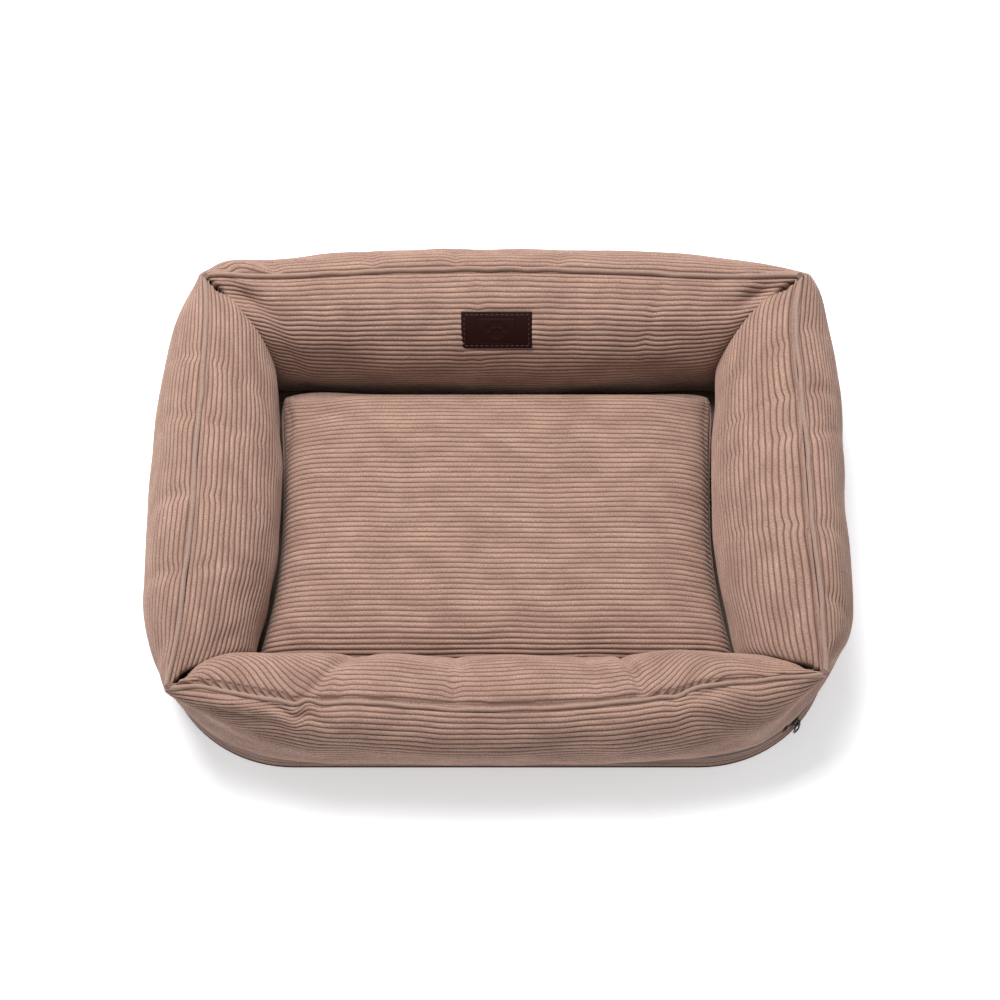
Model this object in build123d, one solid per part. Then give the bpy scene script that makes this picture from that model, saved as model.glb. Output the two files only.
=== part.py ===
from build123d import *
import os
from math import asin, cos, hypot, pi, radians, sin

# A rectangular pet bed: four stuffed walls on a thin padded base, round a loose seat cushion.
# Frame: X to the right, Y to the rear, Z up. The origin is on the floor under the bed's middle.
# All sizes are in millimetres.

# --- overall sizes ---
bed_width = 702.0           # across the fullest part of the side walls
bed_depth = 530.0           # across the fullest part of the front and rear walls
outline_power = 4.2         # of the superellipse that the walls fill in plan
rear_height = 170.0         # seam heights at the middle of each wall, then at the corners
side_height = 168.0
front_height = 140.0
rear_corner_height = 164.0
front_corner_height = 150.0

# --- walls: thickness at the middle, and where the seam and the opening lie ---
side_thickness = 138.0
rear_thickness = 125.0
front_thickness = 102.0
side_seam_inset = 56.0      # from the wall's outermost point in to its top seam
rear_seam_inset = 47.0
front_seam_inset = 31.0
rear_corner_seam_inset = 20.0
front_corner_seam_inset = 12.0
side_bow_rear = 10.0        # how much the walls bulge into the opening between its corners
side_bow_front = 24.0
rear_bow = 10.0
front_bow = 5.0
outer_belly = 0.62          # height of the outermost point, as a share of the wall's own height
inner_belly = 0.50
inner_foot = 26.0           # how far the inner foot sits back under the inner belly
belly_turn = 72.0           # degrees of arc from the belly down to the foot

# --- cloth and filling ---
cord_cloth = 2.4            # corduroy with its backing
welt_radius = 2.3
welt_clear = 1.0            # between the welt's cord and the two panels' edges
sewn_gap = 0.3              # between neighbours that are sewn together
fill_gap = 0.5              # between a cover and its filling
mitre_gap = 0.4             # at each wall's end, where it meets the next wall
tack_long = 9.0             # the bar of thread on top of each corner
tack_wide = 3.0
tack_thick = 1.2
tack_clear = 0.8            # over the welt

# --- base ---
base_setback_side = 24.0    # of the base's edge behind the walls' outermost points
base_setback_end = 22.0
base_corner = 130.0
sole_cloth = 1.2
base_pad_thick = 9.0
lining_cloth = 1.2
band_cloth = 2.0
band_height = 17.0

# --- zips, of one section ---
tape_height = 6.0
tape_thick = 0.8
coil_height = 1.6
coil_thick = 1.8
coil_slit = 1.2             # the line where the two coils mesh and the slider's post runs
slider_length = 9.0
slider_height = 7.4
slider_plate = 1.0
slider_play = 0.35
post_thick = 0.5
bail_height = 3.2           # of the little bridge that the pull hangs on
bail_wire = 1.2
pull_play = 0.3             # between the bridge's bar and the pull's eye
pull_wire = 1.5
pull_eye = 1.9              # outer radius
pull_length = 19.0          # of the loop under the eye
pull_width = 8.0
stop_length = 2.4
stop_height = 4.0
stop_plate = 0.6
stop_play = 0.1
tape_past_stop = 2.0        # of the base's zip, from its stop to the tape's end
zip_break = 3.0             # degrees round the corner between the tape's two ends

# --- seat cushion ---
cushion_thick = 78.0
cushion_clear = 2.4         # to the walls at each side and at the front
cushion_rear_clear = 11.0
cushion_corner = 34.0
cushion_edge = 30.0         # rounding between its faces and its sides
cushion_cloth = 2.0
cushion_seat_gap = 0.4
piping_height = 2.2
piping_proud = 0.9
piping_deep = 1.4
cushion_zip_margin = 21.6   # between each end of the zip and the rounded corner

# --- label ---
label_width = 70.0
label_height = 38.0
label_thick = 1.6
label_middle = 46.0         # degrees from the seam down the rear wall's inner face
label_clear = 0.5
stitch_length = 3.2
stitch_pitch = 5.0
stitch_wide = 0.8
stitch_margin = 3.0

# --- base zip's slider ---
slider_park = 45.0          # degrees round the front right corner from its side end

half_width = bed_width / 2
half_depth = bed_depth / 2
base_half_width = half_width - base_setback_side
base_half_depth = half_depth - base_setback_end
pad_floor = sole_cloth + sewn_gap
lining_floor = pad_floor + base_pad_thick + sewn_gap
wall_floor = lining_floor + lining_cloth + sewn_gap
zip_floor = pad_floor + band_height + sewn_gap
zip_height = 2 * tape_height + 2 * coil_height + coil_slit
zip_middle = zip_floor + zip_height / 2
outer_foot_height = zip_floor + zip_height + sewn_gap
corner_share = 2 ** (-1 / outline_power)


# ---------------------------------------------------------------- plan of the walls
def outline_across(along, half_along, half_across):
    """Half-width of the superellipse at a distance along its other axis."""
    return half_across * (1 - abs(along / half_along) ** outline_power) ** (1 / outline_power)


def blend(share, low_end, middle, high_end):
    """A value that is low_end, middle and high_end at shares -1, 0 and 1, smooth between."""
    end = high_end if share > 0 else low_end
    return middle + (end - middle) * share * share


def base_distance(x, y):
    """Distance outside the base's rounded rectangle, negative inside it."""
    over_x = abs(x) - (base_half_width - base_corner)
    over_y = abs(y) - (base_half_depth - base_corner)
    return hypot(max(over_x, 0), max(over_y, 0)) + min(max(over_x, over_y), 0) - base_corner


opening_half_width = half_width - side_thickness
opening_rear = half_depth - rear_thickness
opening_front = -(half_depth - front_thickness)
rear_corner = (opening_half_width + side_bow_rear, opening_rear + rear_bow)
front_corner = (opening_half_width + side_bow_front, opening_front - front_bow)
cushion_zip_length = 2 * (rear_corner[0] - cushion_clear - cushion_corner - cushion_zip_margin)


def seam_corner(inner, inset):
    """How far out in X and in Y the top seams meet at a corner, an inset from the outline."""
    outer = (corner_share * half_width, corner_share * half_depth)
    across = (outer[0] - abs(inner[0]), outer[1] - abs(inner[1]))
    share = inset / hypot(*across)
    return outer[0] - share * across[0], outer[1] - share * across[1]


rear_seam_corner = seam_corner(rear_corner, rear_corner_seam_inset)
front_seam_corner = seam_corner(front_corner, front_corner_seam_inset)


def side_plan(share, sign):
    """Outer and inner plan points of a side wall, share -1 at its front end to 1 at its rear."""
    y = share * corner_share * half_depth
    outer = (sign * outline_across(y, half_depth, half_width), y)
    inner_x = blend(share, front_corner[0], opening_half_width, rear_corner[0])
    inner_y = (front_corner[1] + rear_corner[1]) / 2 + share * (rear_corner[1] - front_corner[1]) / 2
    return outer, (sign * inner_x, inner_y)


def end_plan(share, sign):
    """The same for the rear wall (sign 1) or the front wall (sign -1), from left to right."""
    x = share * corner_share * half_width
    outer = (x, sign * outline_across(x, half_width, half_depth))
    corner = rear_corner if sign > 0 else front_corner
    middle = opening_rear if sign > 0 else opening_front
    return outer, (share * corner[0], blend(share, corner[1], middle, corner[1]))


class Wall:
    """How one wall runs: its plan, and its seam's height and distance out at low end, middle, high end."""

    def __init__(self, plan, sign, axis, heights, seams):
        self.plan, self.sign, self.axis, self.heights, self.seams = plan, sign, axis, heights, seams


side_heights = (front_corner_height, side_height, rear_corner_height)
side_seams = (front_seam_corner[0], half_width - side_seam_inset, rear_seam_corner[0])
walls = {
    "rear": Wall(end_plan, 1, 1, (rear_corner_height, rear_height, rear_corner_height),
                 (rear_seam_corner[1], half_depth - rear_seam_inset, rear_seam_corner[1])),
    "front": Wall(end_plan, -1, 1, (front_corner_height, front_height, front_corner_height),
                  (front_seam_corner[1], half_depth - front_seam_inset, front_seam_corner[1])),
    "left": Wall(side_plan, -1, 0, side_heights, side_seams),
    "right": Wall(side_plan, 1, 0, side_heights, side_seams),
}
station_steps = 5           # stations between a wall's middle and its end, closer at the end
upper_steps = 5             # points of a section's curve from the seam to the belly
lower_steps = 3             # and from the belly to the foot
halvings = 40               # of the search for the base's edge, far finer than any clearance


def curve_angles(start):
    """Angles of a section curve's points: from the seam down to the belly, then on to the foot."""
    upper = [start + (pi / 2 - start) * i / upper_steps for i in range(upper_steps + 1)]
    lower = [radians(belly_turn) * i / lower_steps for i in range(1, lower_steps + 1)]
    return upper, lower


class Station:
    """One upright section through a wall, from its outer outline to the opening."""

    def __init__(self, name, share):
        wall = walls[name]
        self.outer, inner = wall.plan(share, wall.sign)
        self.width = hypot(inner[0] - self.outer[0], inner[1] - self.outer[1])
        self.way = ((inner[0] - self.outer[0]) / self.width, (inner[1] - self.outer[1]) / self.width)
        self.height = blend(share, *wall.heights)
        seam_out = blend(share, *wall.seams)
        self.seam = (abs(self.outer[wall.axis]) - seam_out) / abs(self.way[wall.axis])
        self.outer_belly = wall_floor + outer_belly * (self.height - wall_floor)
        self.inner_belly = wall_floor + inner_belly * (self.height - wall_floor)
        self.foot = self.base_edge()

    def plan_at(self, inset):
        return self.outer[0] + inset * self.way[0], self.outer[1] + inset * self.way[1]

    def base_edge(self):
        """Inset at which this section crosses the base's edge."""
        low, high = -base_setback_side, self.width
        for _ in range(halvings):
            middle = (low + high) / 2
            low, high = (middle, high) if base_distance(*self.plan_at(middle)) > 0 else (low, middle)
        return low

    def point(self, inset, height):
        x, y = self.plan_at(inset)
        return Vector(x, y, height)

    def outer_curve(self, depth, seam_gap):
        """Points from the top seam down the outside to the outer foot, a depth under the surface."""
        reach = self.seam - depth
        start = asin(seam_gap / reach)
        rise = self.height - depth - self.outer_belly
        fall = self.outer_belly - outer_foot_height
        turn = radians(belly_turn)
        upper, lower = curve_angles(start)
        points = [(self.seam - reach * sin(a), self.outer_belly + rise * cos(a)) for a in upper]
        for a in lower:
            inset = depth + self.foot * (1 - cos(a)) / (1 - cos(turn))
            points.append((inset, self.outer_belly - fall * sin(a) / sin(turn)))
        return points

    def inner_curve(self, depth, seam_gap):
        """The same down the inside, to the inner foot on the base's lining."""
        reach = self.width - depth - self.seam
        start = asin(seam_gap / reach)
        rise = self.height - depth - self.inner_belly
        fall = self.inner_belly - wall_floor
        turn = radians(belly_turn)
        upper, lower = curve_angles(start)
        points = [(self.seam + reach * sin(a), self.inner_belly + rise * cos(a)) for a in upper]
        for a in lower:
            inset = self.width - depth - inner_foot * (1 - cos(a)) / (1 - cos(turn))
            points.append((inset, self.inner_belly - fall * sin(a) / sin(turn)))
        return points


def stations(wall, end_gap):
    """Sections from one end of a wall to the other, stopping short of each corner by end_gap."""
    half_length = half_depth if walls[wall].axis == 0 else half_width
    share_end = 1 - end_gap / (corner_share * half_length)
    steps = range(-station_steps, station_steps + 1)
    return [Station(wall, share_end * sin(pi / 2 * k / station_steps)) for k in steps]


def spline(station, points):
    return Edge.make_spline([station.point(*p) for p in points])


def line(station, start, end):
    return Edge.make_line(station.point(*start), station.point(*end))


def strip_wire(station, outside, inside):
    """Closed section of a cloth strip, given its two faces from top to foot."""
    return Wire([
        spline(station, outside),
        line(station, outside[-1], inside[-1]),
        spline(station, inside[::-1]),
        line(station, inside[0], outside[0]),
    ])


# ---------------------------------------------------------------- wall pieces
seam_gap = welt_radius + welt_clear


def outer_panel(wall):
    """One side of the outer cloth, which runs on round each corner into the next side."""
    return Solid.make_loft([
        strip_wire(s, s.outer_curve(0, seam_gap), s.outer_curve(cord_cloth, seam_gap))
        for s in stations(wall, 0)
    ])


def inner_panel(wall):
    return Solid.make_loft([
        strip_wire(s, s.inner_curve(0, seam_gap), s.inner_curve(cord_cloth, seam_gap))
        for s in stations(wall, mitre_gap)
    ])


def wall_fill(wall):
    depth = cord_cloth + fill_gap
    sections = []
    for s in stations(wall, mitre_gap):
        outside = s.outer_curve(depth, 0)
        inside = s.inner_curve(depth, 0)
        heel = (s.foot + depth + band_cloth, wall_floor)
        sections.append(Wire([
            line(s, heel, outside[-1]),
            spline(s, outside[::-1]),
            spline(s, inside),
            line(s, inside[-1], heel),
        ]))
    return Solid.make_loft(sections)


def wall_welt(wall):
    """The raised seam along the wall's top, a cord of cloth between the two panels."""
    end_gap = mitre_gap + welt_radius
    path = Edge.make_spline([s.point(s.seam, s.height) for s in stations(wall, end_gap)])
    return sweep(Plane(path ^ 0) * Circle(welt_radius), path)


def corner_tacks():
    """A bar of thread on top of each corner, where two welts are sewn together."""
    bars = []
    for wall in ("rear", "front"):
        for station, turn in ((stations(wall, mitre_gap)[0], -1), (stations(wall, mitre_gap)[-1], 1)):
            side = 1 if wall == "rear" else -1
            x, y = station.plan_at(station.seam)
            top = station.height + welt_radius + tack_clear + tack_thick / 2
            bar = Box(tack_long, tack_wide, tack_thick)
            bars.append(Pos(x, y, top) * Rot(0, 0, -45 * side * turn) * bar)
    return Compound(bars)


# ---------------------------------------------------------------- base pieces
def rounded_plate(half_x, half_y, corner, thick, floor):
    plan = Pos(0, 0, floor) * RectangleRounded(2 * half_x, 2 * half_y, corner)
    return extrude(plan, thick)


def base_sole():
    return rounded_plate(base_half_width, base_half_depth, base_corner, sole_cloth, 0)


def base_band():
    outside = rounded_plate(base_half_width, base_half_depth, base_corner, band_height, pad_floor)
    return outside - rounded_plate(
        base_half_width - band_cloth, base_half_depth - band_cloth, base_corner - band_cloth,
        band_height, pad_floor)


inside_band = band_cloth + sewn_gap


def base_pad():
    return rounded_plate(base_half_width - inside_band, base_half_depth - inside_band,
                         base_corner - inside_band, base_pad_thick, pad_floor)


def base_lining():
    return rounded_plate(base_half_width - inside_band, base_half_depth - inside_band,
                         base_corner - inside_band, lining_cloth, lining_floor)


# ---------------------------------------------------------------- zips
# A zip's section is drawn as (offset outwards, height): the tape's outer face is at offset 0.
tape_bottoms = {"lower": 0.0, "upper": zip_height - tape_height}
coil_bottoms = {"lower": tape_height, "upper": tape_height + coil_height + coil_slit}
coil_offset = (coil_thick - tape_thick) / 2


def zip_ring(bottom, height, thick, offset):
    """A strip of the base's zip, all round the base's edge."""
    out = offset
    outside = rounded_plate(base_half_width + out, base_half_depth + out, base_corner + out,
                            height, zip_floor + bottom)
    deep = offset - thick
    return outside - rounded_plate(base_half_width + deep, base_half_depth + deep, base_corner + deep,
                                   height, zip_floor + bottom)


def base_zip_break():
    """The gap between the zip's two ends, just past the parked slider on the front."""
    end = base_corner_centre()
    start = radians(slider_park) + (slider_length / 2 + stop_length + tape_past_stop) / base_corner
    width = radians(zip_break)
    far = 2 * base_corner
    wedge = make_face(Polyline(
        (end[0], end[1]),
        (end[0] + far * cos(start), end[1] - far * sin(start)),
        (end[0] + far * cos(start + width), end[1] - far * sin(start + width)),
        close=True))
    return extrude(Pos(0, 0, zip_floor) * wedge, zip_height)


def base_corner_centre():
    return base_half_width - base_corner, -(base_half_depth - base_corner)


def base_zip_tape(which):
    return zip_ring(tape_bottoms[which], tape_height, tape_thick, 0) - base_zip_break()


def base_zip_coil(which):
    return zip_ring(coil_bottoms[which], coil_height, coil_thick, coil_offset) - base_zip_break()


def coil_clamp(length, height, plate, play):
    """Two plates either side of the coils, joined by a post through the slit between them.

    At the origin: X outwards from the tape's face, Y along the zip, Z across it.
    """
    outer_face = coil_offset + play
    inner_face = coil_offset - coil_thick - play
    plate_out = Pos(outer_face + plate / 2, 0, 0) * Box(plate, length, height)
    plate_in = Pos(inner_face - plate / 2, 0, 0) * Box(plate, length, height)
    plates = fillet((plate_out + plate_in).edges().filter_by(Axis.X), length / 6)
    post_reach = outer_face - inner_face + plate
    post = Pos((outer_face + inner_face) / 2, 0, 0) * Box(post_reach, length / 3, post_thick)
    return plates + post


def bar_offset():
    """How far the middle of the bridge's bar stands out from the tape's face."""
    return coil_offset + slider_play + slider_plate + bail_height - bail_wire / 2


def slider_blank():
    """A zip slider with the bridge that its pull hangs on."""
    body = coil_clamp(slider_length, slider_height, slider_plate, slider_play)
    bar_length = slider_length - 2
    bar = Pos(bar_offset(), 0, 0) * Rot(90, 0, 0) * Cylinder(bail_wire / 2, bar_length)
    leg_length = bail_height - bail_wire / 2
    for end in (-1, 1):
        leg = Box(leg_length, bail_wire, bail_wire)
        body += Pos(bar_offset() - leg_length / 2, end * (bar_length - bail_wire) / 2, 0) * leg
    return body + bar


def pull_blank():
    """A wire loop under an eye, hanging from the bridge's bar, with the bar's middle at the origin."""
    hole = bail_wire / 2 + pull_play
    eye = Rot(90, 0, 0) * Cylinder(pull_eye, pull_wire)
    outside = Rot(0, 90, 0) * SlotOverall(pull_length, pull_width)
    inside = Rot(0, 90, 0) * SlotOverall(pull_length - 2 * pull_wire, pull_width - 2 * pull_wire)
    loop = extrude(outside, pull_wire / 2, both=True) - extrude(inside, pull_wire / 2, both=True)
    loop_middle = -(hole + pull_wire / 4 + pull_length / 2)
    return Pos(0, 0, loop_middle) * loop + eye - Rot(90, 0, 0) * Cylinder(hole, pull_width)


def on_base_zip(shape):
    """Moves a zip blank to the parked place at the base's front right corner."""
    centre = base_corner_centre()
    return (Pos(centre[0], centre[1], zip_middle) * Rot(0, 0, -slider_park)
            * Pos(base_corner, 0, 0) * shape)


def base_zip_stop():
    """The clip that ends the zip's teeth, beyond the slider."""
    beyond = slider_length / 2 + pull_play + stop_length / 2
    angle = -beyond / base_corner * 180 / pi
    centre = base_corner_centre()
    return (Pos(centre[0], centre[1], zip_middle) * Rot(0, 0, angle - slider_park)
            * Pos(base_corner, 0, 0) * coil_clamp(stop_length, stop_height, stop_plate, stop_play))


# ---------------------------------------------------------------- seat cushion
cushion_floor = wall_floor + cushion_seat_gap
cushion_seam_height = cushion_floor + cushion_thick / 2
cushion_side_steps = 6      # spans of the curve along each side


def opening_at(y):
    """Half the width between the side walls' inner bellies."""
    middle = (rear_corner[1] + front_corner[1]) / 2
    share = (y - middle) / (rear_corner[1] - middle)
    return blend(share, front_corner[0], opening_half_width, rear_corner[0])


def cushion_plan(shrink):
    """Outline of the cushion, drawn in by shrink: its sides follow the bulge of the side walls."""
    clear = cushion_clear + shrink
    rear = opening_rear - cushion_rear_clear - shrink
    front = opening_front + clear
    steps = [rear + (front - rear) * i / cushion_side_steps for i in range(cushion_side_steps + 1)]
    side = [(opening_at(y) - clear, y) for y in steps]
    mirrored = [(-x, y) for x, y in side]
    edges = [
        Line(mirrored[0], side[0]),
        Spline(side),
        Line(side[-1], mirrored[-1]),
        Spline(mirrored[::-1]),
    ]
    plan = make_face(edges)
    return fillet(plan.vertices(), cushion_corner - shrink)


def cushion_block(shrink):
    floor = cushion_floor + shrink
    block = extrude(Pos(0, 0, floor) * cushion_plan(shrink), cushion_thick - 2 * shrink)
    rims = block.edges().filter_by_position(Axis.Z, floor - 0.01, floor + 0.01)
    rims += block.edges().filter_by_position(
        Axis.Z, floor + cushion_thick - 2 * shrink - 0.01, floor + cushion_thick - 2 * shrink + 0.01)
    return fillet(rims, cushion_edge - shrink)


def cushion_slab(low, high):
    """Everything between two heights, to cut the cushion's pieces with."""
    return Pos(0, 0, (low + high) / 2) * Box(bed_width, bed_depth, high - low)


def cushion_zip_window():
    rear = opening_rear - cushion_rear_clear
    tall = zip_height + 2 * sewn_gap
    deep = 2 * (cushion_cloth + piping_deep + fill_gap)
    return Pos(0, rear, cushion_seam_height) * Box(cushion_zip_length + 2 * sewn_gap, deep, tall)


def cushion_cover(which):
    shell = cushion_block(0) - cushion_block(cushion_cloth)
    seam_half = piping_height / 2 + sewn_gap
    if which == "top":
        slab = cushion_slab(cushion_seam_height + seam_half, cushion_seam_height + cushion_thick)
    else:
        slab = cushion_slab(cushion_seam_height - cushion_thick, cushion_seam_height - seam_half)
    return (shell & slab) - cushion_zip_window()


def cushion_fill():
    return cushion_block(cushion_cloth + fill_gap + piping_deep)


def cushion_piping():
    ring = extrude(Pos(0, 0, cushion_seam_height - piping_height / 2) * cushion_plan(-piping_proud),
                   piping_height)
    hole = extrude(Pos(0, 0, cushion_seam_height - piping_height / 2) * cushion_plan(piping_deep),
                   piping_height)
    return ring - hole - cushion_zip_window()


def on_cushion_zip(shape):
    """Moves a zip blank to the cushion's rear face, with the zip along X."""
    rear = opening_rear - cushion_rear_clear
    return Pos(0, rear, cushion_seam_height) * Rot(0, 0, 90) * shape


def cushion_zip_strip(bottom, height, thick, offset):
    middle = bottom + height / 2 - zip_height / 2
    return on_cushion_zip(
        Pos(offset - thick / 2, 0, middle) * Box(thick, cushion_zip_length, height))


def cushion_zip_stops():
    clamp = coil_clamp(stop_length, stop_height, stop_plate, stop_play)
    along = cushion_zip_length / 2 - stop_length
    return Compound([on_cushion_zip(Pos(0, end * along, 0) * clamp) for end in (-1, 1)])


cushion_slider_park = cushion_zip_length / 2 - 2 * stop_length - slider_length / 2


# ---------------------------------------------------------------- label
def label_station():
    return Station("rear", 0)


def label_point(station, angle, proud):
    reach = station.width + proud - station.seam
    rise = station.height + proud - station.inner_belly
    return station.point(station.seam + reach * sin(angle), station.inner_belly + rise * cos(angle))


def label_span():
    """Half the angle that the label takes on the wall's inner quarter."""
    station = label_station()
    radius = (station.width - station.seam + station.height - station.inner_belly) / 2
    return label_height / radius / 2


def label_patch():
    station = label_station()
    middle, half = radians(label_middle), label_span()
    angles = [middle - half + half * i / 2 for i in range(5)]
    back = [label_point(station, a, label_clear) for a in angles]
    face = [label_point(station, a, label_clear + label_thick) for a in angles]
    section = Wire([
        Edge.make_spline(back),
        Edge.make_line(back[-1], face[-1]),
        Edge.make_spline(face[::-1]),
        Edge.make_line(face[0], back[0]),
    ])
    slab = Solid.extrude(Face(section), Vector(label_width, 0, 0))
    return Pos(-label_width / 2, 0, 0) * slab


def label_stitching():
    """Two rows of thread along the label's upper and lower edges."""
    station = label_station()
    radius = station.width - station.seam
    half = label_span() - stitch_margin / radius
    count = int((label_width - 2 * stitch_margin) / stitch_pitch)
    stitches = []
    for angle in (radians(label_middle) - half, radians(label_middle) + half):
        spot = label_point(station, angle, label_clear + label_thick + stitch_wide / 2 + 0.1)
        for i in range(count):
            x = (i - (count - 1) / 2) * stitch_pitch
            tilt = 180 / pi * angle
            stitch = Box(stitch_length, stitch_wide, stitch_wide)
            stitches.append(Pos(x, spot.Y, spot.Z) * Rot(tilt, 0, 0) * stitch)
    return Compound(stitches)


# ---------------------------------------------------------------- writing the pieces
def save(name, shape):
    export_step(shape, f"parts/{name}.step")


os.makedirs("parts", exist_ok=True)

save("walls_outer_panel", Solid.fuse(*[outer_panel(wall_name) for wall_name in walls]))
for wall_name in walls:
    save(f"{wall_name}_wall_inner_panel", inner_panel(wall_name))
    save(f"{wall_name}_wall_fill", wall_fill(wall_name))
    save(f"{wall_name}_wall_welt", wall_welt(wall_name))
save("corner_tacks", corner_tacks())

save("base_sole", base_sole())
save("base_band", base_band())
save("base_pad", base_pad())
save("base_lining", base_lining())

for level in ("lower", "upper"):
    save(f"base_zip_tape_{level}", base_zip_tape(level))
    save(f"base_zip_coil_{level}", base_zip_coil(level))
    save(f"cushion_zip_tape_{level}", cushion_zip_strip(tape_bottoms[level], tape_height, tape_thick, 0))
    save(f"cushion_zip_coil_{level}",
         cushion_zip_strip(coil_bottoms[level], coil_height, coil_thick, coil_offset))
save("base_zip_stop", base_zip_stop())
save("base_zip_slider", on_base_zip(slider_blank()))
save("base_zip_pull", on_base_zip(Pos(bar_offset(), 0, 0) * pull_blank()))

save("cushion_top_cover", cushion_cover("top"))
save("cushion_bottom_cover", cushion_cover("bottom"))
save("cushion_fill", cushion_fill())
save("cushion_piping", cushion_piping())
save("cushion_zip_stops", cushion_zip_stops())
save("cushion_zip_slider", on_cushion_zip(Pos(0, cushion_slider_park, 0) * slider_blank()))
save("cushion_zip_pull",
     on_cushion_zip(Pos(bar_offset(), cushion_slider_park, 0) * pull_blank()))

save("label_patch", label_patch())
save("label_stitching", label_stitching())

corner_x, corner_y = base_corner_centre()
print("base corner centre", corner_x, corner_y, "zip middle", zip_middle)
print("bar stands out", bar_offset(), "slider park on the cushion", cushion_slider_park)
print("cushion from", cushion_floor, "to", cushion_floor + cushion_thick, "seam", cushion_seam_height)
print("opening half width", opening_half_width, "from", opening_front, "to", opening_rear)
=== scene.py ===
import bmesh
import bpy
import numpy as np
from math import radians, cos, sin
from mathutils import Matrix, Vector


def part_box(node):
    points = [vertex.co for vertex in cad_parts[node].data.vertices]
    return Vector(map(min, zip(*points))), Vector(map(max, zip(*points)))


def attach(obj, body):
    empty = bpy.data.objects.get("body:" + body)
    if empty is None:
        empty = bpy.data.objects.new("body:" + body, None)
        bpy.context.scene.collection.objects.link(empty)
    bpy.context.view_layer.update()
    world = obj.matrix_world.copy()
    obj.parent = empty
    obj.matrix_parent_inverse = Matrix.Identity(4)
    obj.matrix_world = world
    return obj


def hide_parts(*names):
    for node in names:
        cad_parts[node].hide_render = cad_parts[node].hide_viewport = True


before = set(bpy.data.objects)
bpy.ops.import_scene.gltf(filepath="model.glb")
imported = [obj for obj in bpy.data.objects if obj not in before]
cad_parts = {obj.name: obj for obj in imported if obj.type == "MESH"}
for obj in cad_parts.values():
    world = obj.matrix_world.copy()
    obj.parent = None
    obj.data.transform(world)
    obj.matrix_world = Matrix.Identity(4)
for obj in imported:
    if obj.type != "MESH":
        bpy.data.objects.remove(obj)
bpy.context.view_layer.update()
mm = 0.001
print("frame loaded")

# Shapes are worked out in millimetres and turned to metres when they become a mesh.
# X is to the right, Y to the rear, Z up. A wall's share runs from -1 at its left or front end to 1.


def nodeBox(node):  # lowest and highest corner of a frame node, in millimetres
    low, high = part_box(node)
    return np.array(low) / mm, np.array(high) / mm


cord = {
    "wale": 5.5,       # from one rib to the next, about four and a half ribs to the inch
    "rise": 1.7,       # from the groove up to the crown of a rib
    "backing": 1.6,    # thickness of the cloth under the ribs
    "perRib": 7,       # points across each rib
    "arch": 0.6,       # power of the rib's sine: under one, so the crown is broad
    "sunk": 0.62,      # share of the rise that lies below the cloth's own surface
    "uneven": 0.10,    # how much the crowns differ in height
}


def ribHeight(across):  # a rib is a rounded arch: the sine of half a turn, raised to a power under one
    return cord["rise"] * (np.abs(np.sin(np.pi * across / cord["wale"])) ** cord["arch"] - cord["sunk"])


def ribRows(length):  # distances across the cloth at which it is sampled, the same few in every rib
    return np.arange(int(length / cord["wale"] + 1.5) * cord["perRib"] + 1) * cord["wale"] / cord["perRib"]


def smoothNoise(points, seed, longest, shortest, waves=26):
    # the sum of plane cosine waves in seeded directions, scaled so that most of it lies between -1 and 1
    rng = np.random.default_rng(seed)
    lengths = np.exp(rng.uniform(np.log(shortest), np.log(longest), waves))
    ways = rng.normal(size=(waves, 3))
    ways = ways / np.linalg.norm(ways, axis=1, keepdims=True) * 2 * np.pi / lengths[:, None]
    starts = rng.uniform(0, 2 * np.pi, waves)
    total = sum(np.cos(points @ way + start) for way, start in zip(ways, starts))
    return total * np.sqrt(2 / waves) * 0.6


def smoothStep(x):  # 0 below 0, 1 above 1, and three x squared less two x cubed between
    x = np.clip(x, 0, 1)
    return x * x * (3 - 2 * x)


def dentField(along, across, dents):
    # each dent is a turned Gaussian: deep times exp of minus half the squared distances over its sizes
    total = np.zeros(np.broadcast(along, across).shape)
    for spot, size, turn, deep in dents:
        c, s = cos(radians(turn)), sin(radians(turn))
        da, ds = along - spot[0], across - spot[1]
        p, q = c * da + s * ds, c * ds - s * da
        total += deep * np.exp(-0.5 * ((p / size[0]) ** 2 + (q / size[1]) ** 2))
    return total


def surfaceNormals(points, wrap=False):
    # cross product of the differences down the rows and along the columns
    down = np.gradient(points, axis=0)
    if wrap:
        along = np.roll(points, -1, 1) - np.roll(points, 1, 1)
    else:
        along = np.gradient(points, axis=1)
    normal = np.cross(down, along)
    return normal / np.maximum(np.linalg.norm(normal, axis=2, keepdims=True), 1e-9)


def newObject(name, mesh, material, body):  # a piece at the origin, with its material and its body
    piece = bpy.data.objects.new(name, mesh)
    bpy.context.scene.collection.objects.link(piece)
    mesh.materials.append(material)
    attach(piece, body)
    return piece


def meshFrom(name, points, quads, cloth=None):
    # points in millimetres, quads as rows of four indices, cloth as one pair of metres for each corner
    mesh = bpy.data.meshes.new(name)
    mesh.vertices.add(len(points))
    mesh.vertices.foreach_set("co", (points * mm).astype(np.float32).ravel())
    mesh.loops.add(quads.size)
    mesh.loops.foreach_set("vertex_index", quads.ravel().astype(np.int32))
    mesh.polygons.add(len(quads))
    mesh.polygons.foreach_set("loop_start", np.arange(0, quads.size, quads.shape[1]).astype(np.int32))
    mesh.update(calc_edges=True)
    if cloth is not None:
        layer = mesh.uv_layers.new(name="cloth")
        layer.data.foreach_set("uv", (cloth * mm).astype(np.float32).ravel())
    mesh.validate()
    return mesh


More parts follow.
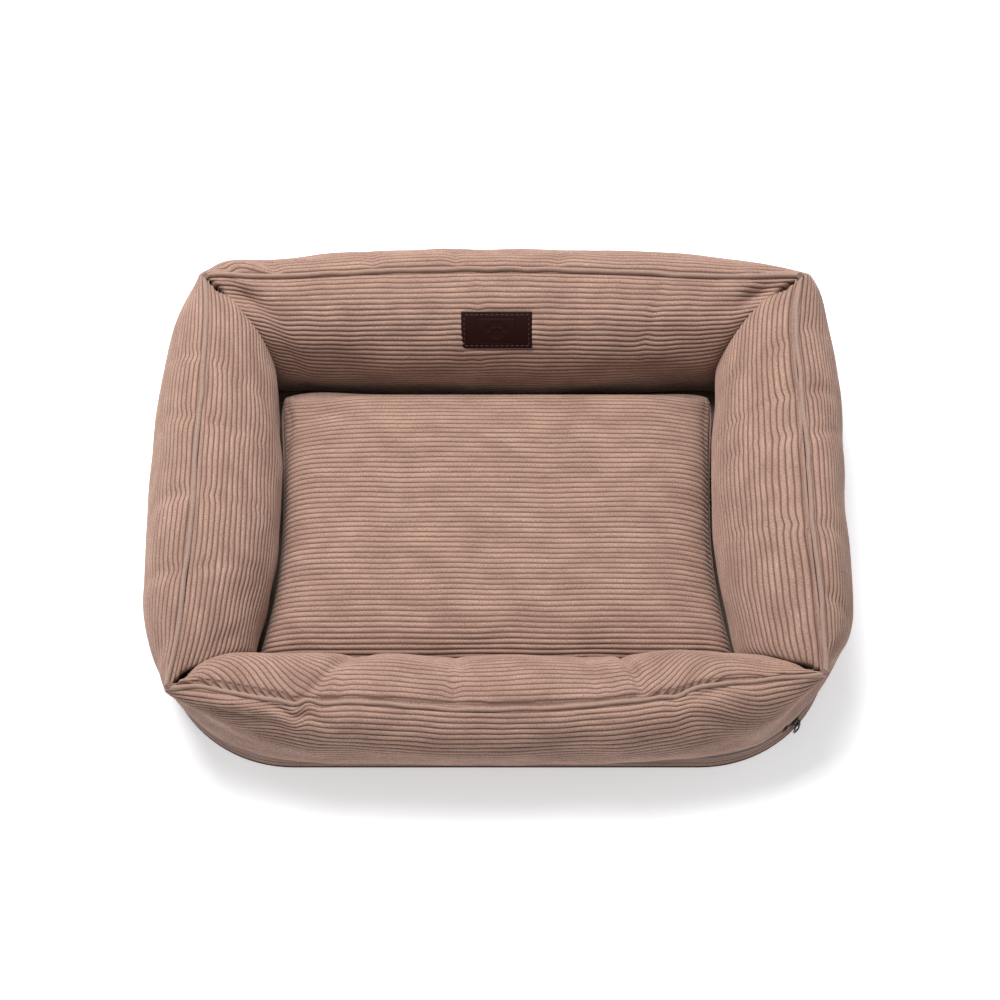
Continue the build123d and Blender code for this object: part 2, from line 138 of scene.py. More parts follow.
def gridMesh(name, points, cloth=None, wrap=False, flip=False):
    # joins neighbouring grid points into quads, and closes the last column to the first where wrap is set
    rows, cols = points.shape[:2]
    i, j = np.meshgrid(np.arange(rows - 1), np.arange(cols if wrap else cols - 1), indexing="ij")
    i, j = i.ravel(), j.ravel()
    corners = [(i, j), (i + 1, j), (i + 1, j + 1), (i, j + 1)]
    if flip:
        corners = corners[::-1]
    quads = np.stack([r * cols + c % cols for r, c in corners], 1)
    uv = None if cloth is None else np.stack([cloth[r, c] for r, c in corners], 1).reshape(-1, 2)
    return meshFrom(name, points.reshape(-1, 3), quads, uv)


def weld(mesh, distance=0.02):  # merges points that lie together and drops faces with no area
    work = bmesh.new()
    work.from_mesh(mesh)
    bmesh.ops.remove_doubles(work, verts=work.verts, dist=distance * mm)
    bmesh.ops.dissolve_degenerate(work, edges=work.edges, dist=distance * mm / 4)
    work.to_mesh(mesh)
    work.free()


def smoothShade(mesh):  # every face smooth
    mesh.polygons.foreach_set("use_smooth", np.ones(len(mesh.polygons), bool))


def thicken(piece, thickness):  # gives the cloth its backing, on the side away from the ribs
    solid = piece.modifiers.new("backing", "SOLIDIFY")
    solid.thickness = thickness * mm
    solid.offset = -1


def tubeMesh(name, path, radii, sides, closed):
    # a ring of points round each path point, in the plane across the path; radii are across and up
    if closed:
        tangent = np.roll(path, -1, 0) - np.roll(path, 1, 0)
    else:
        tangent = np.gradient(path, axis=0)
    tangent = tangent / np.linalg.norm(tangent, axis=1, keepdims=True)
    side = np.cross(tangent, np.array([0.0, 0.0, 1.0]))
    side = side / np.linalg.norm(side, axis=1, keepdims=True)
    rise = np.cross(side, tangent)
    turn = np.linspace(0, 2 * np.pi, sides, endpoint=False)
    ring = (path[None] + np.cos(turn)[:, None, None] * side[None] * radii[0]
            + np.sin(turn)[:, None, None] * rise[None] * radii[1])
    ring = np.concatenate([ring, ring[:1]], 0)
    steps = np.linalg.norm(np.diff(np.concatenate([path, path[:1]], 0), axis=0), axis=1)
    along = np.concatenate([[0], np.cumsum(steps)])
    cols = len(path) + (1 if closed else 0)
    around = np.linspace(0, 2 * np.pi * max(radii), sides + 1)
    cloth = np.stack(np.broadcast_arrays(along[None, :cols], around[:, None]), -1)
    mesh = gridMesh(name, ring, cloth, wrap=closed, flip=True)
    weld(mesh, 0.001)
    if not closed:
        work = bmesh.new()
        work.from_mesh(mesh)
        bmesh.ops.holes_fill(work, edges=[e for e in work.edges if e.is_boundary], sides=0)
        work.to_mesh(mesh)
        work.free()
    smoothShade(mesh)
    return mesh


def linear(hexColour):  # sRGB hex to linear values: ((c + 0.055) / 1.055) to the power 2.4
    parts = [int(hexColour[k:k + 2], 16) / 255 for k in (1, 3, 5)]
    return [c / 12.92 if c <= 0.04045 else ((c + 0.055) / 1.055) ** 2.4 for c in parts] + [1.0]


def addNode(material, kind, settings=None, **links):
    # adds a node, sets its properties and inputs, and links the inputs named by index or word
    node = material.node_tree.nodes.new(kind)
    for key, value in (settings or {}).items():
        if isinstance(key, int) or key in node.inputs:
            node.inputs[key].default_value = value
        else:
            setattr(node, key, value)
    for key, source in links.items():
        socket = node.inputs[int(key[1:])] if key[0] == "i" and key[1:].isdigit() else node.inputs[key]
        material.node_tree.links.new(source, socket)
    return node


def newMaterial(name):  # a material and its main shader
    material = bpy.data.materials.new(name)
    material.use_nodes = True
    surface = material.node_tree.nodes["Principled BSDF"]
    return material, surface


def setRamp(node, stops):  # stops are (position, colour), in order
    ramp = node.color_ramp
    ramp.elements[0].position, ramp.elements[0].color = stops[0][0], stops[0][1]
    ramp.elements[1].position, ramp.elements[1].color = stops[-1][0], stops[-1][1]
    for position, colour in stops[1:-1]:
        ramp.elements.new(position).color = colour
    return node


def grey(value):  # equal parts, for a ramp's stops
    return (value, value, value, 1.0)


# Wide-wale corduroy: cotton and polyester pile cut into ribs, brushed and dyed.
# The ribs are in the mesh. The dark grooves are painted shade between the ribs; the eye also gets tufts along
# each rib, crushed patches and a soft sheen.
corduroy = {
    # groove is the colour of the painted shade in the grooves between the ribs
    "crown": "#A9897A", "crushed": "#96776A", "groove": "#5E4539",
    "roughness": 0.92, "specular": 0.25, "sheen": 0.35, "sheenRoughness": 0.45, "sheenTint": "#F2DCD0",
    "patch": (22, 45, 1), "tuft": (900, 420, 1), "streak": (60, 900, 1),  # repeats in a metre
    "tuftRise": 0.5, "tuftBump": 0.55, "streakShare": 0.18,
}


def corduroyMaterial(name, waleSize):
    material, surface = newMaterial(name)
    links = material.node_tree.links
    cloth = addNode(material, "ShaderNodeUVMap", {"uv_map": "cloth"}).outputs["UV"]
    # across the ribs: half a turn of a sine for each rib, so the groove is where the sine is 0 and its
    # painted shade is darkest
    parts = addNode(material, "ShaderNodeSeparateXYZ", Vector=cloth)
    halfTurns = np.pi / (waleSize * mm)
    phase = addNode(material, "ShaderNodeMath", {"operation": "MULTIPLY", 1: halfTurns},
                    i0=parts.outputs["Y"])
    wave = addNode(material, "ShaderNodeMath", {"operation": "SINE"}, i0=phase.outputs[0])
    arch = addNode(material, "ShaderNodeMath", {"operation": "ABSOLUTE"}, i0=wave.outputs[0])
    # mask of the painted groove shade: full at the groove, none where the sine passes 0.58
    grooveShadeMask = setRamp(addNode(material, "ShaderNodeValToRGB", Fac=arch.outputs[0]),
                         [(0.0, grey(1.0)), (0.28, grey(0.66)), (0.58, grey(0.0))])
    # crushed pile: patches about 45 mm along the ribs and 22 mm across them
    stretch = addNode(material, "ShaderNodeMapping", {"Scale": corduroy["patch"]}, Vector=cloth)
    patches = addNode(material, "ShaderNodeTexNoise", {"Scale": 1.0, "Detail": 3.0, "Roughness": 0.62},
                      Vector=stretch.outputs[0])
    patchMask = setRamp(addNode(material, "ShaderNodeValToRGB", Fac=patches.outputs["Fac"]),
                        [(0.36, grey(0.0)), (0.66, grey(1.0))])
    # tufts: clumps of pile about 1.1 mm along a rib and 2.4 mm across it
    # real pile is finer, and is drawn this coarse so that it shows
    tuftStretch = addNode(material, "ShaderNodeMapping", {"Scale": corduroy["tuft"]}, Vector=cloth)
    tufts = addNode(material, "ShaderNodeTexNoise", {"Scale": 1.0, "Detail": 4.0, "Roughness": 0.7},
                    Vector=tuftStretch.outputs[0])
    # streaks: faint lines in the dye, about 17 mm along a rib and 1.1 mm across it
    streakStretch = addNode(material, "ShaderNodeMapping", {"Scale": corduroy["streak"]}, Vector=cloth)
    streaks = addNode(material, "ShaderNodeTexNoise", {"Scale": 1.0, "Detail": 2.0},
                      Vector=streakStretch.outputs[0])
    pile = addNode(material, "ShaderNodeMix", {"data_type": "RGBA"}, Factor=patchMask.outputs["Color"])
    pile.inputs[7].default_value = linear(corduroy["crown"])
    pile.inputs[6].default_value = linear(corduroy["crushed"])
    fleck = addNode(material, "ShaderNodeMix", {"data_type": "RGBA", "blend_type": "MULTIPLY"})
    fleck.inputs[0].default_value = 1.0
    links.new(pile.outputs[2], fleck.inputs[6])
    fleckRamp = setRamp(addNode(material, "ShaderNodeValToRGB", Fac=tufts.outputs["Fac"]),
                        [(0.32, grey(0.62)), (0.68, grey(1.28))])
    links.new(fleckRamp.outputs["Color"], fleck.inputs[7])
    streak = addNode(material, "ShaderNodeMix", {"data_type": "RGBA", "blend_type": "MULTIPLY"})
    streak.inputs[0].default_value = corduroy["streakShare"]
    links.new(fleck.outputs[2], streak.inputs[6])
    streakRamp = setRamp(addNode(material, "ShaderNodeValToRGB", Fac=streaks.outputs["Fac"]),
                         [(0.35, grey(0.78)), (0.65, grey(1.15))])
    links.new(streakRamp.outputs["Color"], streak.inputs[7])
    # painted shade: the groove colour is laid over the pile where the mask is high
    grooveShaded = addNode(material, "ShaderNodeMix", {"data_type": "RGBA"}, Factor=grooveShadeMask.outputs["Color"])
    links.new(streak.outputs[2], grooveShaded.inputs[6])
    grooveShaded.inputs[7].default_value = linear(corduroy["groove"])
    links.new(grooveShaded.outputs[2], surface.inputs["Base Color"])
    bump = addNode(material, "ShaderNodeBump",
                   {"Strength": corduroy["tuftBump"], "Distance": corduroy["tuftRise"] * mm},
                   Height=tufts.outputs["Fac"])
    links.new(bump.outputs[0], surface.inputs["Normal"])
    surface.inputs["Roughness"].default_value = corduroy["roughness"]
    surface.inputs["Specular IOR Level"].default_value = corduroy["specular"]
    surface.inputs["Sheen Weight"].default_value = corduroy["sheen"]
    surface.inputs["Sheen Roughness"].default_value = corduroy["sheenRoughness"]
    surface.inputs["Sheen Tint"].default_value = linear(corduroy["sheenTint"])
    return material


wallCord = corduroyMaterial("wideWaleCorduroy", cord["wale"])


def plainMaterial(name, colour, roughness, metallic=0.0, sheen=0.0, grain=None):
    # a dyed or coated surface with a fine noise in its colour and height
    # grain is the noise's size and its height, both in mm
    material, surface = newMaterial(name)
    links = material.node_tree.links
    surface.inputs["Base Color"].default_value = linear(colour)
    surface.inputs["Roughness"].default_value = roughness
    surface.inputs["Metallic"].default_value = metallic
    surface.inputs["Sheen Weight"].default_value = sheen
    if grain:
        size, height = grain
        place = addNode(material, "ShaderNodeTexCoord")
        noise = addNode(material, "ShaderNodeTexNoise", {"Scale": 1 / (size * mm), "Detail": 3.0},
                        Vector=place.outputs["Object"])
        dark = [0.8 * c for c in linear(colour)[:3]] + [1]
        light = [min(1.15 * c, 1) for c in linear(colour)[:3]] + [1]
        ramp = setRamp(addNode(material, "ShaderNodeValToRGB", Fac=noise.outputs["Fac"]),
                       [(0.3, dark), (0.7, light)])
        links.new(ramp.outputs["Color"], surface.inputs["Base Color"])
        bump = addNode(material, "ShaderNodeBump", {"Strength": 0.5, "Distance": height * mm},
                       Height=noise.outputs["Fac"])
        links.new(bump.outputs[0], surface.inputs["Normal"])
    return material


# Brushed pile cloth wrapped over a cord: the welt is narrower than one rib, so it shows none and looks matt.
weltPile = plainMaterial("brushedPileCovering", "#977A6B", 0.92, sheen=0.35, grain=(1.4, 0.25))
# Leather, dyed through and pressed: almost black red, with a fine grain and little shine.
leather = plainMaterial("oxbloodLeather", "#200806", 0.62, grain=(0.9, 0.15))
leather.node_tree.nodes["Principled BSDF"].inputs["Specular IOR Level"].default_value = 0.12
# Spun polyester sewing thread: a little smoother and brighter than the cloth it holds.
thread = plainMaterial("polyesterThread", "#7E6155", 0.6, sheen=0.2, grain=(0.4, 0.1))
# Twisted linen drawn through wax: dark, with a dull shine.
labelThread = plainMaterial("waxedLinenThread", "#3A1F1A", 0.6, sheen=0.1, grain=(0.4, 0.1))
# Narrow woven polyester: flat and matt, without pile, so it looks darker than the corduroy.
tapeCloth = plainMaterial("wovenZipTape", "#7D6256", 0.85, sheen=0.2, grain=(0.5, 0.12))
# Extruded nylon wound into a coil: smooth enough to catch a soft line of light.
coilNylon = plainMaterial("nylonZipCoil", "#7A5F54", 0.45, grain=(0.8, 0.05))
# Die-cast zinc alloy, painted: dark grey, with a soft shine through the thin coat.
zipMetal = plainMaterial("paintedZincAlloy", "#3A3837", 0.38, metallic=0.6, grain=(1.5, 0.02))
# Coated polyester cloth: dark and matt, with a rough hand.
soleCloth = plainMaterial("nonSlipSoleCloth", "#4B4542", 0.9, sheen=0.1, grain=(0.8, 0.2))
# Plain woven polyester: flat and matt, in the corduroy's own brown.
liningCloth = plainMaterial("plainWovenLining", "#8D7568", 0.9, sheen=0.15, grain=(0.7, 0.15))
# Carded polyester staple: white, soft and lumpy.
fibreFill = plainMaterial("polyesterFibre", "#EFEDE8", 0.95, sheen=0.3, grain=(3.0, 0.8))
print("materials made")

# The walls' plan and section. The opening, the band and the walls' outer limits come from the frame's boxes.
outerLow, outerHigh = nodeBox("walls_outer_panel")
rearLow = nodeBox("rear_wall_inner_panel")[0]
frontHigh = nodeBox("front_wall_inner_panel")[1]
rightLow = nodeBox("right_wall_inner_panel")[0]
bandLow, bandHigh = nodeBox("base_band")
walls = {
    "halfWidth": outerHigh[0] - 9.0, "halfDepth": outerHigh[1] - 0.5,
    "power": 4.2,                       # of the superellipse that the walls fill in plan
    "cornerAcross": {"rear": 297.0, "front": 306.0},
    "openSide": rightLow[0], "openRear": rearLow[1], "openFront": frontHigh[1],
    "bowRear": 10.0, "bowFront": 5.0, "sideBowRear": 10.0, "sideBowFront": 24.0,
    "floor": rearLow[2], "footHeight": outerLow[2] - 5.0, "hem": 14.0,
    "zipRoom": 5.0, "zipRoomFrom": (190.0, 70.0), "zipRoomRun": 30.0,
    "lengths": {"rear": 590, "front": 590, "left": 430, "right": 430}, "sectionSteps": 160,
    "heights": {"rear": (164, 169, 164), "front": (147, 140, 147), "side": (147, 167, 164)},
    "seamInset": {"rear": 47.0, "front": 31.0, "side": 53.0},
    "cornerInset": {"rear": 16.0, "front": 8.0},
    "outerBelly": 0.62, "innerBelly": 0.50, "innerFoot": 26.0, "bellyTurn": 72.0,
    "baseHalf": (bandHigh[0], bandHigh[1]), "baseCorner": 130.0,
}


def outlineAcross(along, halfAlong, halfAcross):
    # half-width of the superellipse: (1 - |along / half| ^ power) ^ (1 / power)
    power = walls["power"]
    return halfAcross * np.clip(1 - np.abs(along / halfAlong) ** power, 0, 1) ** (1 / power)


def threeWay(share, lowEnd, middle, highEnd):  # a parabola on each side of the middle
    end = np.where(share > 0, highEnd, lowEnd)
    return middle + (end - middle) * share * share


def baseDistance(x, y):  # distance outside the base's rounded rectangle
    corner = walls["baseCorner"]
    overX = np.abs(x) - (walls["baseHalf"][0] - corner)
    overY = np.abs(y) - (walls["baseHalf"][1] - corner)
    beyond = np.hypot(np.maximum(overX, 0), np.maximum(overY, 0))
    return beyond + np.minimum(np.maximum(overX, overY), 0) - corner


def outerCorner(end):  # where the outline passes the corner's own X
    x = walls["cornerAcross"][end]
    return np.array([x, float(outlineAcross(x, walls["halfWidth"], walls["halfDepth"]))])


outerCorners = {"rear": outerCorner("rear"), "front": outerCorner("front")}
innerCorners = {
    "rear": np.array([walls["openSide"] + walls["sideBowRear"], walls["openRear"] + walls["bowRear"]]),
    "front": np.array([walls["openSide"] + walls["sideBowFront"], -walls["openFront"] + walls["bowFront"]]),
}


def seamCorner(end):  # on the mitre, a little in from the outer corner
    across = outerCorners[end] - innerCorners[end]
    return outerCorners[end] - walls["cornerInset"][end] / np.hypot(*across) * across


seamCorners = {"rear": seamCorner("rear"), "front": seamCorner("front")}


def wallPlan(name, share):
    # at each share along a wall: the outer plan point, the way and width from there to the inner point,
    # how far in the seam lies, and the seam's height
    if name in ("rear", "front"):
        sign = 1 if name == "rear" else -1
        corner, seamEnd = innerCorners[name], seamCorners[name][1]
        x = share * outerCorners[name][0]
        outer = np.stack([x, sign * outlineAcross(x, walls["halfWidth"], walls["halfDepth"])], -1)
        opening = abs(walls["openRear"] if sign > 0 else walls["openFront"])
        inner = np.stack([share * corner[0], sign * threeWay(share, corner[1], opening, corner[1])], -1)
        seamOut = threeWay(share, seamEnd, walls["halfDepth"] - walls["seamInset"][name], seamEnd)
        axis, heights = 1, walls["heights"][name]
    else:
        sign = 1 if name == "right" else -1
        rear, front = outerCorners["rear"][1], -outerCorners["front"][1]
        y = (rear + front) / 2 + share * (rear - front) / 2
        outer = np.stack([sign * outlineAcross(y, walls["halfDepth"], walls["halfWidth"]), y], -1)
        rear, front = innerCorners["rear"], innerCorners["front"]
        innerX = threeWay(share, front[0], walls["openSide"], rear[0])
        innerY = (rear[1] - front[1]) / 2 + share * (rear[1] + front[1]) / 2
        inner = np.stack([sign * innerX, innerY], -1)
        seamOut = threeWay(share, seamCorners["front"][0], walls["halfWidth"] - walls["seamInset"]["side"],
                           seamCorners["rear"][0])
        axis, heights = 0, walls["heights"]["side"]
    width = np.linalg.norm(inner - outer, axis=-1)
    way = (inner - outer) / width[:, None]
    seam = (np.abs(outer[:, axis]) - seamOut) / np.abs(way[:, axis])
    return {"outer": outer, "way": way, "width": width, "seam": seam, "height": threeWay(share, *heights)}


def baseInset(plan):  # inset at which each section crosses the base's edge, by halving
    low = np.full(len(plan["width"]), -40.0)
    high = plan["width"].copy()
    for _ in range(40):
        middle = (low + high) / 2
        spot = plan["outer"] + middle[:, None] * plan["way"]
        outside = baseDistance(spot[:, 0], spot[:, 1]) > 0
        low, high = np.where(outside, middle, low), np.where(outside, high, middle)
    return low


def sectionCurve(plan, side):
    # inset and height down one face of each section
    # a quarter ellipse from the seam to the belly, then an arc to the foot
    floor = walls["floor"]
    turn = radians(walls["bellyTurn"])
    upper = np.linspace(0, np.pi / 2, walls["sectionSteps"])[:, None]
    lower = np.linspace(0, turn, walls["sectionSteps"])[1:, None]
    height, seam, width = plan["height"][None], plan["seam"][None], plan["width"][None]
    fall = (1 - np.cos(lower)) / (1 - cos(turn))
    sink = np.sin(lower) / sin(turn)
    if side == "outer":
        belly = floor + walls["outerBelly"] * (height - floor)
        up = seam * (1 - np.sin(upper)), belly + (height - belly) * np.cos(upper)
        down = plan["foot"][None] * fall, belly - (belly - walls["footHeight"] - plan["lift"][None]) * sink
    else:
        belly = floor + walls["innerBelly"] * (height - floor)
        up = seam + (width - seam) * np.sin(upper), belly + (height - belly) * np.cos(upper)
        down = width - walls["innerFoot"] * fall, belly - (belly - floor) * sink
    inset, z = np.concatenate([up[0], down[0]], 0), np.concatenate([up[1], down[1]], 0)
    steps = np.hypot(np.diff(inset, axis=0), np.diff(z, axis=0))
    return inset, z, np.concatenate([np.zeros((1, inset.shape[1])), np.cumsum(steps, 0)], 0)


def clothSurface(plan, side, rows):  # reads each section at the rows' distances from the seam
    inset, z, lengths = sectionCurve(plan, side)
    cols = range(inset.shape[1])
    pickInset = np.stack([np.interp(rows[:, j], lengths[:, j], inset[:, j]) for j in cols], 1)
    pickZ = np.stack([np.interp(rows[:, j], lengths[:, j], z[:, j]) for j in cols], 1)
    spot = plan["outer"][None] + pickInset[..., None] * plan["way"][None]
    return np.concatenate([spot, pickZ[..., None]], -1)


def seamLine(plan):
    # the top seam: each outer point moved in by the seam's inset, at the seam's height
    spot = plan["outer"] + plan["seam"][:, None] * plan["way"]
    return np.concatenate([spot, plan["height"][:, None]], 1)


def runLength(line):  # distance along a line of points
    return np.concatenate([[0], np.cumsum(np.linalg.norm(np.diff(line, axis=0), axis=1))])


# A dent: (place along the wall, distance from the seam), (half length, half width), turn, depth.
# It is in mm and degrees.
# Along is X on the front and rear walls and Y on the side walls. A negative depth stands proud.
folds = {
    "frontInner": [
        ((-168, 40), (5, 34), -16, 5.0), ((-150, 58), (7, 20), -20, 3.0),
        ((-42, 62), (5, 16), 12, 4.5), ((-44, 30), (4, 14), 20, 2.0), ((97, 62), (5, 14), 0, 3.0),
        ((139, 40), (4, 34), 0, 5.5), ((112, 66), (6, 10), -20, 2.0),
        ((-210, 45), (34, 26), 0, -5.0), ((-100, 45), (40, 24), 0, -3.0), ((40, 44), (44, 24), 0, -2.0),
        ((185, 48), (36, 26), 0, -6.0), ((-262, 30), (16, 14), 0, -3.0),
    ],
    "frontOuter": [
        ((-188, 13), (28, 4), 14, 5.5), ((-226, 26), (26, 5), 12, 3.0), ((-150, 16), (22, 10), 0, -2.5),
        ((-246, 12), (26, 10), 0, -3.5), ((200, 7), (18, 4), -10, 4.5), ((170, 22), (8, 26), 8, 2.0),
        ((236, 20), (30, 14), 0, -3.0), ((0, 40), (120, 22), 0, -2.0),
    ],
    "rearInner": [
        ((-262, 26), (9, 12), 0, 12.0), ((-240, 14), (12, 10), 30, -3.0), ((264, 22), (8, 10), 0, 13.0),
        ((-20, 20), (5, 40), 5, 1.2), ((170, 24), (5, 40), -5, 1.4), ((90, 50), (6, 40), 0, 0.9),
    ],
    "rearOuter": [
        ((-258, 6), (6, 9), 30, 7.0), ((-238, 12), (10, 10), 10, -4.0), ((-216, 9), (5, 12), -10, 3.0),
        ((256, 8), (8, 6), -20, 5.0), ((-120, 20), (5, 16), 0, 1.5),
        ((-40, 20), (5, 16), 0, 1.5), ((60, 20), (6, 16), 0, 1.6),
    ],
    "leftInner": [
        ((119, 26), (5, 30), 6, 1.6), ((54, 24), (5, 26), -6, 1.8),
        ((-27, 26), (5, 28), 5, 2.0), ((-102, 28), (6, 30), -6, 1.8),
        ((-60, 70), (30, 26), 0, -2.0), ((90, 70), (30, 26), 0, -2.0), ((-184, 44), (9, 20), -30, 3.0),
    ],
    "rightInner": [
        ((81, 30), (4, 34), 3, 2.4), ((38, 34), (6, 26), 0, 1.6),
        ((-59, 30), (5, 34), -5, 2.0), ((140, 30), (5, 30), 5, 1.4),
        ((10, 72), (36, 26), 0, -2.0), ((-130, 60), (30, 26), 0, -2.5),
    ],
    "leftOuter": [
        ((119, 20), (5, 22), 6, 2.6), ((54, 22), (5, 22), -8, 2.4),
        ((-27, 20), (5, 24), 5, 3.0), ((-102, 22), (6, 24), -8, 3.0),
        ((-60, 30), (18, 20), 0, -2.0), ((90, 30), (18, 20), 0, -1.5), ((-170, 18), (9, 20), 20, 2.2),
    ],
    "rightOuter": [
        ((81, 22), (5, 24), 8, 3.0), ((38, 20), (5, 22), -8, 2.4),
        ((-59, 22), (6, 24), 5, 2.6), ((-130, 22), (5, 22), 8, 2.4),
        ((0, 30), (20, 20), 0, -2.0), ((150, 20), (7, 20), 20, 2.2), ((-180, 16), (6, 18), -20, 2.6),
    ],
}
# A slant turns the ribs against the seam: its start and end along the wall, its lean with distance
# from the seam, and how far it shifts the ribs, in mm.
slants = {
    "frontInner": [(-300, -158, -0.3, 66.0), (134, 222, 0.15, -46.0), (232, 290, 0.0, 12.0)],
    "frontOuter": [(-262, -140, -0.6, 28.0), (150, 232, 0.5, -28.0)],
    "rearOuter": [(-262, -228, 0.3, 5.6), (228, 262, -0.3, -5.6)], "rearInner": [(-270, -246, 0.2, -7.0)],
}
# A pull moves the wall about a place: (x, y, z), (half sizes), (move in x, y, z).
pulls = [
    ((-296, 226, 125), (30, 26, 52), (-6, 4, 1)), ((-270, 236, 125), (22, 24, 52), (-2, 8, 3)),
    ((304, 228, 125), (40, 34, 52), (20, 10, 0)), ((318, -214, 125), (34, 36, 52), (-11, 6, 1)),
    ((-300, -222, 125), (40, 36, 52), (-3, 1, 0)), ((-170, -234, 140), (22, 30, 60), (0, -3, -5)),
    ((200, -228, 140), (26, 30, 60), (0, 4, 3)), ((0, -234, 125), (90, 30, 52), (0, -2, -2)),
    ((-330, 110, 125), (40, 80, 52), (7, 0, 0)), ((-345, -50, 125), (40, 60, 52), (3, 0, 0)),
    ((345, 0, 125), (40, 80, 52), (-4, 0, 0)), ((338, -150, 125), (40, 30, 52), (4, 0, 0)),
    ((-245, -222, 150), (45, 15, 22), (0, -12, -2)), ((-304, -206, 150), (18, 20, 24), (-4, -8, -5)),
    ((300, -50, 165), (21, 190, 34), (11, 0, 0)), ((304, -206, 150), (20, 26, 26), (9, -3, -3)),
    ((-188, -233, 145), (8, 14, 18), (0, -4, -3)), ((-176, -233, 145), (6, 14, 18), (0, 4, 2)),
    ((168, -231, 145), (7, 14, 18), (0, -3, -2)),
    ((-290, -222, 80), (50, 34, 22), (7, 8, 0)), ((300, -218, 82), (50, 38, 22), (-4, 6, 0)),
]
relief = {"swell": 1.1, "wander": 0.5, "seamDip": 4.2, "seamRun": 4.5, "waver": 1.6, "foldBack": 26.0}


def pullWalls(points):  # each pull is a Gaussian in space
    moved = points.copy()
    for spot, size, move in pulls:
        near = np.exp(-0.5 * (((points - np.array(spot)) / np.array(size)) ** 2).sum(-1, keepdims=True))
        moved = moved + near * np.array(move, float)
    return moved


def slantField(name, along, rows):  # smooth steps in the ribs' offset, one for each slant
    total = np.zeros(along.shape)
    for start, end, lean, shift in slants.get(name, []):
        total = total + shift * smoothStep((along - start - lean * rows) / (end - start))
    return total


def facing(points, outward, wrap=False):  # normals turned to the side of outward
    normal = surfaceNormals(points, wrap)
    return normal * np.sign((normal * outward).sum(-1, keepdims=True) + 1e-9)


def shapeCloth(base, rows, along, name, outward, push, seed, wrap=False, flat=None):
    # pushes the cloth along its own normals: the given push, a groove beside the seam, folds,
    # a slow swell, and last the ribs
    # a narrow fold also makes the ribs waver beside it: a Gaussian along the wall times a sine down it
    groove = relief["seamDip"] * np.exp(-(rows / relief["seamRun"]) ** 2)
    swell = relief["swell"] * smoothNoise(base, seed, 150, 45) * smoothStep(rows / 14)
    dents = dentField(along, rows, folds[name]) * smoothStep(rows / 9)
    free = 1 if flat is None else 1 - flat
    push = push - groove + (swell - dents) * free
    shaped = base + push[..., None] * facing(base, outward, wrap)
    stray = relief["wander"] * smoothNoise(base, seed + 5, 90, 26) * smoothStep(rows / 8)
    narrow = [spot[0] for spot, size, turn, deep in folds[name] if size[0] < 8 and deep > 1]
    wrinkles = sum(relief["waver"] * np.exp(-((along - place) / 6) ** 2) for place in narrow)
    waver = wrinkles * smoothStep(rows / 10) * np.sin(rows / 9)
    across = rows + stray + slantField(name, along, rows) + waver
    crown = ribHeight(across) * (1 + cord["uneven"] * smoothNoise(base, seed + 9, 30, 9))
    if flat is not None:
        crown = crown * (1 - label["pressed"] * flat)
    return shaped + crown[..., None] * facing(shaped, outward, wrap), across


# reach: how far a panel's ends carry on past the mitre.
# tuck: how deep they round off, and over what length.
innerEnds = {
    "rear": {"reach": (6, 6), "tuck": ((13, 34), (13, 34))},
    "left": {"reach": (5, 12), "tuck": ((12, 24), (12, 22))},
    "right": {"reach": (5, 12), "tuck": ((12, 24), (12, 22))},
    "front": {"reach": (12, 12), "tuck": ((12, 24), (12, 24))},
}
label = {
    "across": 70.0, "deep": 38.0, "thick": 1.6, "frame": (19.0, 12.5),
    "seat": 1.7,      # depth of the hollow in the wall
    "under": 0.9,     # how far its back lies under the wall's smooth surface
    "pressed": 0.85,  # share of the ribs' height pressed flat beneath it
}


def labelPlace():
    # the rear wall's middle section as y, z and distance from the seam, and the label's place on it
    low, high = nodeBox("label_patch")
    plan = wallPlan("rear", np.array([0.0]))
    inset, z, lengths = sectionCurve(plan, "inner")
    spot = np.argmin(np.abs(z[:walls["sectionSteps"], 0] - (low[2] + high[2]) / 2))
    y = plan["outer"][0, 1] + inset[:, 0] * plan["way"][0, 1]
    return (y, z[:, 0], lengths[:, 0]), (low[0] + high[0]) / 2, lengths[spot, 0]


labelSection, labelMiddle, labelRow = labelPlace()


def onLabel(u, v, w):  # u across the wall, v up it from the label's middle, w out of it along its normal
    y, z, lengths = labelSection
    spot = [np.interp(labelRow - v + shift, lengths, line) for shift in (-1, 0, 1) for line in (y, z)]
    wayY, wayZ = spot[4] - spot[0], spot[5] - spot[1]
    size = np.hypot(wayY, wayZ)
    place = labelMiddle + u, spot[2] + w * wayZ / size, spot[3] - w * wayY / size
    return np.stack(np.broadcast_arrays(*place), -1)


